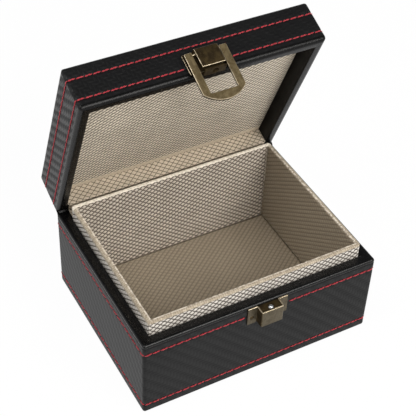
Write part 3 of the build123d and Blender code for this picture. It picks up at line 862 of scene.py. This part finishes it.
# ---- Padded panel in the lid -----------------------------------------------
# A covered board over thin foam closes the lid's inside. It faces down when the
# lid is shut.
lid_pad_crown = 0.35 * MM
lid_panel = woven_sheet(
    "lid_panel",
    cloths["lid_weave"],
    (lid_panel_low.x, lid_panel_high.y, lid_panel_low.z - lid_pad_crown),
    (1, 0, 0),
    (0, -1, 0),
    lid_panel_high.x - lid_panel_low.x,
    lid_panel_high.y - lid_panel_low.y,
    lid_panel_high.z - lid_panel_low.z + lid_pad_crown,
    crown=lid_pad_crown,
    ease=6 * MM,
)
lid_panel.data.transform(lid_open)
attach(lid_panel, "lid")
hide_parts("lid_lining_pad")

# ---- Hinge cloth and the lid's back lining ---------------------------------
# One strip of the cloth starts behind the collar, lies over the base's back
# rim, bends round the hinge line and runs up the lid's back wall.
hinge_cloth_thick = 0.3 * MM
hinge_cloth_proud = 0.13 * MM
hinge_cloth_bend = 1.0 * MM
hinge_cloth_lap = 0.6 * MM
hinge_cloth_turn = 0.5 * MM
hinge_weave_sunk = 0.1 * MM
hinge_cloth_half = collar_half[0] - hinge_cloth_lap
lining_low, lining_high = shut_box("lid_back_lining")
lining_back = lining_low.y - 0.15 * MM


def around_hinge(degrees, radius):
    """A point of the section at an angle round the hinge line."""
    ahead = radius * heading(degrees)
    return (hinge.y + ahead[0], hinge.z + ahead[1])


def swung(place):
    """A point of the shut lid's section, with the lid at rest."""
    moved = lid_open @ Vector((0, *place))
    return (moved.y, moved.z)


def spaced(places, step):
    """Points at even steps along a run of straight pieces, with their distances."""
    places = np.array(places)
    ahead = np.concatenate([[0], np.cumsum(np.linalg.norm(np.diff(places, axis=0), axis=1))])
    marks = np.linspace(0, ahead[-1], round(ahead[-1] / step) + 1)
    return np.stack([np.interp(marks, ahead, axis) for axis in places.T], -1), marks


def left_of(places):
    """Directions of length one, square to a run of points and to its left."""
    ahead = np.gradient(places, axis=0)
    ahead /= np.linalg.norm(ahead, axis=1)[:, None]
    return np.stack([-ahead[:, 1], ahead[:, 0]], -1)


def there_and_back(distances):
    """The map's distances along the face of a sheet and back along its other side."""
    return np.concatenate([distances, distances[::-1], distances[:1]])


base_level = rim + hinge_cloth_proud
lid_level = lid_rim - hinge_cloth_proud
bend_reach = hinge.y - hinge_cloth_bend
lid_bend_end = swung((bend_reach, lid_level))
bend_from = math.degrees(math.atan2(base_level - hinge.z, -hinge_cloth_bend)) % 360
bend_to = math.degrees(math.atan2(lid_bend_end[1] - hinge.z, lid_bend_end[0] - hinge.y)) % 360
hinge_section = [(collar_high.y - hinge_cloth_lap, base_level), (bend_reach, base_level)]
hinge_section += [around_hinge(a, hinge_cloth_bend) for a in np.linspace(bend_from, bend_to, 8)[1:-1]]
hinge_section += [lid_bend_end]
turn_middle = (lining_back + hinge_cloth_turn, lid_level + hinge_cloth_turn)
hinge_section += [swung(place) for place in quarter(*turn_middle, hinge_cloth_turn, 270, 360, 4)]
hinge_section += [swung((lining_back, lid_panel_low.z + hinge_cloth_lap))]
section, section_v = spaced(hinge_section, cloth_grid)
wall_v = section_v[-1] - (lid_panel_low.z - lid_level)
hinge_u = np.linspace(-1, 1, round(2 * hinge_cloth_half / cloth_grid) + 1)
hinge_points = np.zeros((2 * len(section), len(hinge_u), 3))
for index, (place, outward, v) in enumerate(zip(section, left_of(section), section_v)):
    x = hinge_u * (hinge_cloth_half if v < wall_v else lining_high.x)
    sunk = hinge_weave_sunk * (1 - pillows(-x, v))
    hinge_points[index, :, 1:] = place - outward * sunk[:, None]
    hinge_points[-1 - index, :, 1:] = place - outward * hinge_cloth_thick
    hinge_points[[index, -1 - index], :, 0] = x
hinge_v = there_and_back(section_v)
hinge_cloth = grid_object("hinge_cloth", hinge_points, -hinge_u * hinge_cloth_half, hinge_v, False, True)
close_shell(hinge_cloth)
hinge_cloth.data.materials.append(cloths["back_weave"])
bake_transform(hinge_cloth)
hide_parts("hinge_gusset", "lid_back_lining")

# ---- Hinge leather ---------------------------------------------------------
# A narrow band of the leatherette joins the two back walls outside. It is the
# hinge itself: it rolls up into a bead as the lid is opened.
band_proud = 0.06 * MM
band_thick = 0.55 * MM
band_reach = 4.0 * MM
band_bend = 0.95 * MM
band_step = 0.25 * MM
band_column = 1.2 * MM
crease_depth = 0.05 * MM
band_half = half_x - corner_radius
band_y = half_y + band_proud
band_radius = math.hypot(band_y - hinge.y, band_bend)
band_lid_end = swung((band_y, hinge.z + band_bend))
band_from = math.degrees(math.atan2(-band_bend, band_y - hinge.y))
band_to = math.degrees(math.atan2(band_lid_end[1] - hinge.z, band_lid_end[0] - hinge.y))
band_places = [(band_y, hinge.z - band_reach), (band_y, hinge.z - band_bend)]
band_places += [around_hinge(a, band_radius) for a in np.linspace(band_from, band_to, 8)[1:-1]]
band_places += [band_lid_end, swung((band_y, hinge.z + band_reach))]
band_section, band_v = spaced(band_places, band_step)
band_ends = band_half + np.radians((15, 31, 46, 62)) * corner_radius
band_flat = np.linspace(-band_half, band_half, round(2 * band_half / band_column) + 1)
band_u = np.concatenate([-band_ends[::-1], band_flat, band_ends])
band_turn = np.clip(np.abs(band_u) - band_half, 0, None) / corner_radius
band_x = np.sign(band_u) * (np.minimum(np.abs(band_u), band_half) + corner_radius * np.sin(band_turn))
band_drop = corner_radius * (1 - np.cos(band_turn))
band_points = np.zeros((2 * len(band_section), len(band_u), 3))
band_points[:, :, 0] = band_x
crease = crease_depth * np.sin(band_u / (2.3 * MM)) * np.sin(band_u / (7.9 * MM)) - band_drop
for index, (place, inward) in enumerate(zip(band_section, left_of(band_section))):
    band_points[index, :, 1:] = place - inward * crease[:, None]
    band_points[-1 - index, :, 1:] = place + inward * (band_thick + band_drop)[:, None]
hinge_band = grid_object("hinge_band", band_points, band_u, there_and_back(band_v), False, True)
close_shell(hinge_band)
hinge_band.data.materials.append(base_leather.data.materials[1])
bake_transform(hinge_band)
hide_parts("hinge_fold")

# ---- Keeper on the base's front --------------------------------------------
# A strip of antiqued brass is bent into a shallow box with two flanges, which
# are nailed to the front. Its top edge is rubbed bright, which also stands in for a
# highlight, and the sides of the box are painted nearly black as shade.
strip_thick = 0.7 * MM
strip_bend = 0.55 * MM
cut_edge = 0.09 * MM
nail_head = 1.3 * MM
nail_dome = 0.28 * MM
nail_foot = 0.1 * MM
nail_turns = 24


def antique_brass(name, shade, depth, wear, roughness):
    """Brass with a brown patina: mottled, finely scratched, thinner in places."""
    paint = Shader(name)
    cloud = paint.noise(320.0, 4.0)
    speck = paint.noise(1900.0, 2.0)
    scratch = paint.noise(1300.0, 2.0, (1, 0.12, 0.12))
    stained = paint.blend(paint.ramp(cloud, 0.34, 0.66), depth, shade)
    paint.set(
        Base_Color=paint.blend(paint.ramp(speck, 0.52, 0.74, 0.0, 0.4), stained, wear),
        Metallic=paint.ramp(cloud, 0.3, 0.7, 0.8, 0.95),
        Roughness=paint.ramp(scratch, 0.3, 0.7, roughness, roughness + 0.16),
    )
    paint.relief(paint.plus(scratch, paint.times(speck, 0.5)), 0.05 * MM)
    return paint.material


brass_face = antique_brass(
    "brass_face", (0.125, 0.104, 0.070), (0.078, 0.062, 0.037), (0.22, 0.18, 0.12), 0.40
)
# Dark patina; where a fitting marks faces nearly black, it is painted shade.
brass_dark = antique_brass(
    "brass_dark", (0.075, 0.052, 0.022), (0.030, 0.019, 0.007), (0.15, 0.105, 0.050), 0.42
)
# Rubbed bright brass, which also stands in for highlights on edges.
brass_worn = antique_brass("brass_worn", (0.54, 0.455, 0.33), (0.38, 0.31, 0.20), (0.70, 0.62, 0.47), 0.30)


def rounded(corners, steps=5):
    """An outline with rounded corners; each corner is (a, b, radius)."""
    outline = []
    for index, (a, b, radius) in enumerate(corners):
        here = np.array([a, b])
        if not radius:
            outline.append(here)
            continue
        before = np.array(corners[index - 1][:2]) - here
        after = np.array(corners[(index + 1) % len(corners)][:2]) - here
        before /= np.linalg.norm(before)
        after /= np.linalg.norm(after)
        half = math.acos(float(np.clip(before @ after, -1, 1))) / 2
        toward = (before + after) / np.linalg.norm(before + after)
        middle = here + toward * radius / math.sin(half)
        first = here + before * radius / math.tan(half) - middle
        last = here + after * radius / math.tan(half) - middle
        start = math.atan2(first[1], first[0])
        turn = (math.atan2(last[1], last[0]) - start + math.pi) % (2 * math.pi) - math.pi
        for step in range(steps + 1):
            angle = start + turn * step / steps
            outline.append(middle + radius * np.array([math.cos(angle), math.sin(angle)]))
    return np.array(outline)


def moved_in(outline, amount):
    """An outline with every edge moved inwards."""
    ahead = np.roll(outline, -1, axis=0) - outline
    area = np.sum(outline[:, 0] * np.roll(outline[:, 1], -1) - outline[:, 1] * np.roll(outline[:, 0], -1))
    inward = np.stack([-ahead[:, 1], ahead[:, 0]], -1) * math.copysign(1.0, area)
    inward /= np.linalg.norm(inward, axis=1)[:, None]
    behind = np.roll(inward, 1, axis=0)
    share = 1 + np.sum(inward * behind, axis=1)
    return outline + amount * (inward + behind) / share[:, None]


def slab(outline, low, high, place, edge=cut_edge, marks=(1, 0, 1), rubbed=()):
    """A plate of any outline, with both of its edges broken.

    place turns a point of the outline and a depth into a place in space. The marks
    give the paint of the low edge, the rim and the high edge: 0 is the paint of
    the open faces, 1 is rubbed bright brass that also stands in for a highlight, and
    2 is nearly black, painted shade. Steps of the outline in rubbed are bright on the
    rim too.
    """
    inner = moved_in(outline, edge)
    rings = ((inner, low), (outline, low + edge), (outline, high - edge), (inner, high))
    points = [place(a, b, depth) for ring, depth in rings for a, b in ring]
    faces = []
    for index, face in enumerate(tube_faces(len(rings), len(outline))):
        level, step = divmod(index, len(outline))
        faces.append((face, 1 if level == 1 and step in rubbed else (*marks, 0)[level]))
    return points, faces


def facing_front(a, b, depth):
    """Place of a plate that stands parallel to the front."""
    return (a, depth, b)


def end_on(a, b, depth):
    """Place of a plate whose outline is seen from the left."""
    return (depth, a, b)


def fitting(name, shells, face_paint):
    """One piece of metal from closed shells of points and marked faces."""
    points, faces, marks = [], [], []
    for shell_points, shell_faces in shells:
        faces += [tuple(len(points) + corner for corner in face) for face, mark in shell_faces]
        marks += [mark for face, mark in shell_faces]
        points += shell_points
    # Its paints: the open faces, rubbed bright brass that also stands in for highlights, and nearly black
    # brass for painted shade.
    piece = new_piece(name, points, faces, face_paint, brass_worn, brass_dark)
    piece.data.polygons.foreach_set("material_index", marks)
    close_shell(piece)
    piece.data.set_sharp_from_angle(angle=math.radians(32))
    return piece


def bent_strip(path, foot, top):
    """A strip on edge, bent along a path in plan; foot gives its lower edge.

    Its top edge is rubbed bright, which also stands in for a highlight, and the
    runs away from the wall are painted nearly black as shade.
    """
    half = strip_thick / 2
    inner = half - cut_edge
    points, faces = [], []
    for index, (place, side) in enumerate(zip(path, -left_of(path))):
        low = foot(index)
        section = [(-half, low + cut_edge), (-inner, low), (inner, low), (half, low + cut_edge)]
        section += [(half, top - cut_edge), (inner, top), (-inner, top), (-half, top - cut_edge)]
        points += [(*(place + side * out), z) for out, z in section]
    away = [run_x < run_y for run_x, run_y in np.abs(np.diff(path, axis=0))] + [False]
    for index, face in enumerate(tube_faces(len(path), 8)):
        step, part = divmod(index, 8)
        faces.append((face, 1 if part in (4, 5, 6) else 2 * int(away[step])))
    return points, faces


def nail(x, y, z):
    """A low domed nail head on an upright face, with its foot on that face."""
    dome = np.radians((88, 70, 50, 28, 10))
    section = [(nail_head, -nail_foot)]
    section += [(nail_head * math.sin(angle), nail_dome * math.cos(angle)) for angle in dome]
    points = [
        (x + reach * math.cos(angle), y - out, z + reach * math.sin(angle))
        for reach, out in section
        for angle in round_turns(nail_turns)
    ]
    faces = tube_faces(len(section), nail_turns)
    # The head's edge and outer dome are painted nearly black: painted shade round the head.
    return points, [(face, 2 * int(index < 2 * nail_turns)) for index, face in enumerate(faces)]


core_low, core_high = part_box("keeper_core")
keeper_nail_low, keeper_nail_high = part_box("keeper_nails")
latch_x = middle_of(keeper_low, keeper_high).x
body_half = core_high.x - latch_x + strip_thick / 2
flange_half = keeper_high.x - latch_x
flange_y = -half_y - strip_thick / 2
body_y = keeper_low.y + strip_thick / 2
strip_path = rounded(
    [
        (latch_x - flange_half, flange_y, 0),
        (latch_x - body_half, flange_y, strip_bend),
        (latch_x - body_half, body_y, strip_bend),
        (latch_x + body_half, body_y, strip_bend),
        (latch_x + body_half, flange_y, strip_bend),
        (latch_x + flange_half, flange_y, 0),
    ],
    6,
)
flange_ends = (1, len(strip_path) - 2)


def strip_foot(index):
    """The flanges reach further down than the box between them."""
    return core_low.z if flange_ends[0] < index < flange_ends[1] else keeper_low.z


nail_x = (keeper_nail_high.x - nail_head - latch_x, nail_head + keeper_nail_low.x - latch_x)
nail_z = middle_of(keeper_nail_low, keeper_nail_high).z
keeper = fitting("keeper", [bent_strip(strip_path, strip_foot, keeper_high.z)], brass_face)
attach(keeper, "base")
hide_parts("keeper_bracket")
keeper_nails = [nail(latch_x + x, -half_y - strip_thick, nail_z) for x in nail_x]
keeper_heads = fitting("keeper_nail_heads", keeper_nails, brass_dark)
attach(keeper_heads, "base")
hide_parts("keeper_nails")

# ---- Detent ball -----------------------------------------------------------
# A polished steel ball stands in the keeper's core on a coil spring and clicks
# into the shelf of the hasp.
ball_low, ball_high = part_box("keeper_ball")


def bare_metal(name, colour, grain, roughness, depth):
    """Bare metal whose scratches or creases show in its gloss and its relief."""
    paint = Shader(name)
    scratch = paint.noise(*grain)
    paint.set(Base_Color=colour, Metallic=1.0, Roughness=paint.ramp(scratch, 0.3, 0.7, *roughness))
    paint.relief(scratch, depth)
    return paint.material


bright_steel = bare_metal("bright_steel", (0.42, 0.43, 0.44), (2600.0, 2.0), (0.22, 0.32), 0.01 * MM)
ball_form = bmesh.new()
bmesh.ops.create_uvsphere(
    ball_form,
    u_segments=40,
    v_segments=24,
    radius=(ball_high.x - ball_low.x) / 2,
    matrix=Matrix.Translation(middle_of(ball_low, ball_high)),
)
for face in ball_form.faces:
    face.smooth = True
detent_ball = new_piece("detent_ball", [], [], bright_steel)
ball_form.to_mesh(detent_ball.data)
ball_form.free()
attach(detent_ball, "keeper_ball")
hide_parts("keeper_ball")

# ---- Ball's spring ---------------------------------------------------------
# Six turns of hard wire stand in the core's bore and push the ball up. In the real
# box they close up when the ball is pressed down; here the coil is built at rest and
# fixed to the base.
spring_wire = 0.15 * MM
spring_turns = 6
wire_sides = 8
spring_low, spring_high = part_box("keeper_spring")
spring_radius = (spring_high.x - spring_low.x) / 2 - spring_wire
spring_room = spring_high.z - spring_low.z
spring_rise = spring_room - 2 * spring_wire
spring_middle = middle_of(spring_low, spring_high)
coil_steps = 32 * spring_turns
coil_points = []
for step in range(coil_steps + 1):
    angle = 2 * math.pi * spring_turns * step / coil_steps
    middle = spring_low.z + spring_wire + spring_rise * step / coil_steps
    for turn in round_turns(wire_sides):
        reach = spring_radius + spring_wire * math.cos(turn)
        x, y = spring_middle.x + reach * math.cos(angle), spring_middle.y + reach * math.sin(angle)
        coil_points.append((x, y, middle + spring_wire * math.sin(turn)))
coil_faces = tube_faces(coil_steps + 1, wire_sides)
detent_spring = new_piece("detent_spring", coil_points, coil_faces, bright_steel)
close_shell(detent_spring)
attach(detent_spring, "base")
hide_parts("keeper_spring")
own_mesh(detent_spring)

# ---- Hasp plate on the lid -------------------------------------------------
# A brass plate nailed to the lid's front. Its tab is folded forward over the
# pin, and a shelf at its foot has the hole for the detent ball.
lug_height = 3.6 * MM
tab_half = 6.1 * MM
tab_edge = 0.3 * MM
tab_reach = 0.9 * MM
tab_length = 11.5 * MM
tab_stand = 4.8 * MM
tab_front = -half_y - tab_stand
tab_top = hasp_high.z
tab_bottom = tab_top - tab_length
plate_lift = 1.5 * MM
plate_bottom = rim + plate_lift
plate_corner = 0.6 * MM
plate_edge = 0.18 * MM
tab_side_edge = 0.2 * MM
web_edge = 0.05 * MM
shelf_low = hasp_low.z
shelf_high = shelf_low + strip_thick
plate_back = -half_y
plate_front = plate_back - strip_thick
let_in = plate_front + 0.2 * MM
web_back = plate_back - 0.35 * MM
web_top = plate_bottom + 1 * MM
ball_y = middle_of(ball_low, ball_high).y
ball_hole = 1.9 * MM
plate_outline = rounded(
    [
        (hasp_low.x, plate_bottom, plate_corner),
        (hasp_high.x, plate_bottom, plate_corner),
        (hasp_high.x, hasp_high.z, plate_corner),
        (hasp_low.x, hasp_high.z, plate_corner),
    ]
)
# Its front edge is rubbed bright, partly a painted highlight; its rim and back edge are painted nearly
# black as shade.
plate_shell = slab(plate_outline, plate_front, plate_back, facing_front, plate_edge, (1, 2, 2))
tab_outline = rounded(
    [
        (let_in, tab_top, 0),
        (tab_front, tab_top, 1.3 * MM),
        (tab_front, tab_bottom, tab_edge),
        (tab_front + strip_thick, tab_bottom, 0.1 * MM),
        (tab_front + strip_thick, tab_top - lug_height, 0),
        (let_in, tab_top - lug_height, 0),
    ]
)
tab_left, tab_right = latch_x - tab_half, latch_x + tab_half
# These steps, the tab's lower front corner, are rubbed bright, partly a painted highlight.
tab_rubbed = range(7, 12)
tab_shell = slab(tab_outline, tab_left, tab_right + tab_reach, end_on, tab_side_edge, rubbed=tab_rubbed)
web_outline = np.array([(let_in, shelf_low), (let_in, web_top), (web_back, web_top), (web_back, shelf_low)])
# The web under the tab is painted nearly black all over: painted shade in the recess.
web_shell = slab(web_outline, tab_left, tab_right, end_on, web_edge, (2, 2, 2))
hole_turns = 64
shelf_back = plate_front + 0.1 * MM
shelf_edge, shelf_hole = [], []
for angle in round_turns(hole_turns):
    east, north = math.cos(angle), math.sin(angle)
    limit = min(
        tab_half / max(abs(east), 1e-6),
        (shelf_back - ball_y if north > 0 else ball_y - keeper_low.y) / max(abs(north), 1e-6),
    )
    shelf_edge.append((latch_x + limit * east, ball_y + limit * north))
    shelf_hole.append((latch_x + ball_hole * east, ball_y + ball_hole * north))
shelf_corners = (
    (shelf_edge, shelf_high),
    (shelf_hole, shelf_high),
    (shelf_hole, shelf_low),
    (shelf_edge, shelf_low),
)
shelf_points = [(x, y, level) for ring, level in shelf_corners for x, y in ring]
shelf_faces = []
for level in range(4):
    for turn in range(hole_turns):
        after = (turn + 1) % hole_turns
        first, second = level * hole_turns, (level + 1) % 4 * hole_turns
        shelf_faces.append(((first + turn, first + after, second + after, second + turn), 0))
hasp_shells = [plate_shell, tab_shell, web_shell, (shelf_points, shelf_faces)]
# The plate, tab and shelf take the dark brass: dark patina, and on the shelf under the tab painted shade.
hasp_plate = fitting("hasp_plate", hasp_shells, brass_dark)
hasp_plate.data.transform(lid_open)
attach(hasp_plate, "lid")
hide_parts("hasp_bracket")
hasp_nail_z = middle_of(*shut_box("hasp_nails")).z
hasp_nails = [nail(latch_x + x, plate_front, hasp_nail_z) for x in nail_x]
hasp_heads = fitting("hasp_nail_heads", hasp_nails, brass_face)
hasp_heads.data.transform(lid_open)
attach(hasp_heads, "lid")
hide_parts("hasp_nails")

# ---- Hasp loop -------------------------------------------------------------
# A flat brass bow swings on the pin and snaps down round the keeper's box. It is
# stamped out and its front edges are broken, then rubbed bright; that brightness
# also stands in for a highlight. Its sides are painted nearly black as shade.
brass_loop = antique_brass(
    "brass_loop", (0.250, 0.192, 0.102), (0.135, 0.097, 0.045), (0.44, 0.36, 0.21), 0.37
)
loop_thick = 1.6 * MM
loop_edge = 0.24 * MM
loop_lean = math.radians(3.43)
loop_half = 12.0 * MM
loop_arm = 4.3 * MM
loop_top = 1.4 * MM
loop_drop = 28.0 * MM
loop_shoulder = 5.4 * MM
loop_bar = 5.2 * MM
bow_steps = 21
bow_radius = (loop_half**2 + loop_shoulder**2) / (2 * loop_shoulder)
bow_span = math.asin(loop_half / bow_radius)
bow = [
    (bow_radius * math.sin(a), bow_radius - loop_drop - bow_radius * math.cos(a), 0)
    for a in np.linspace(-bow_span, bow_span, bow_steps)
]
loop_outline = rounded(
    bow
    + [
        (loop_half, loop_top, 0.7 * MM),
        (loop_half - loop_arm, loop_top, 0.4 * MM),
        (loop_half - loop_arm, loop_bar - loop_drop, 0.8 * MM),
        (loop_arm - loop_half, loop_bar - loop_drop, 0.8 * MM),
        (loop_arm - loop_half, loop_top, 0.4 * MM),
        (-loop_half, loop_top, 0.7 * MM),
    ]
)
# Front edges rubbed bright, partly a painted highlight; sides and back edges painted nearly black as shade.
loop_shell = slab(loop_outline, -loop_thick / 2, loop_thick / 2, facing_front, loop_edge, (1, 2, 2))
hasp_loop = fitting("loop", [loop_shell], brass_loop)
pin = middle_of(*shut_box("hasp_pin"))
on_pin = Matrix.Translation((latch_x, pin.y, pin.z)) @ Matrix.Rotation(loop_lean, 4, (1, 0, 0))
hasp_loop.data.transform(lid_open @ on_pin)
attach(hasp_loop, "hasp_loop")
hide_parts("hasp_loop")

# ---- Boards, shield, foam and felt -----------------------------------------
# Grey board walls carry the leather. Foil lies under the lining, foam fills the
# lid, and a sheet of felt paper covers the underside.
hidden_paints = {
    "carcass_board": fibrous(
        "pressed_board",
        (900.0, 4.0, (1, 0.3, 1)),
        (0.3, 0.7),
        (0.20, 0.185, 0.16),
        (0.36, 0.335, 0.29),
        0.9,
        0.08 * MM,
    ),
    "shield_foil": bare_metal("crinkled_foil", (0.66, 0.66, 0.68), (240.0, 5.0), (0.25, 0.4), 0.3 * MM),
    "filler_foam": fibrous(
        "open_foam",
        (1100.0, 3.0),
        (0.35, 0.6),
        (0.30, 0.29, 0.27),
        (0.62, 0.61, 0.57),
        0.95,
        0.25 * MM,
    ),
    "felt_paper": fibrous(
        "felt_paper",
        (1600.0, 4.0),
        (0.3, 0.7),
        (0.010, 0.010, 0.011),
        (0.030, 0.030, 0.032),
        0.95,
        0.12 * MM,
        Sheen_Weight=0.3,
    ),
    "bright_steel": bright_steel,
}
for name, entry in frame["nodes"].items():
    for slot in entry.material_slots:
        for finish, paint in hidden_paints.items():
            if slot.material and finish in slot.material.name:
                slot.material = paint
for name, paint in (("keeper_core", brass_dark), ("hasp_pin", brass_worn)):
    for slot in frame["nodes"][name].material_slots:
        slot.material = paint
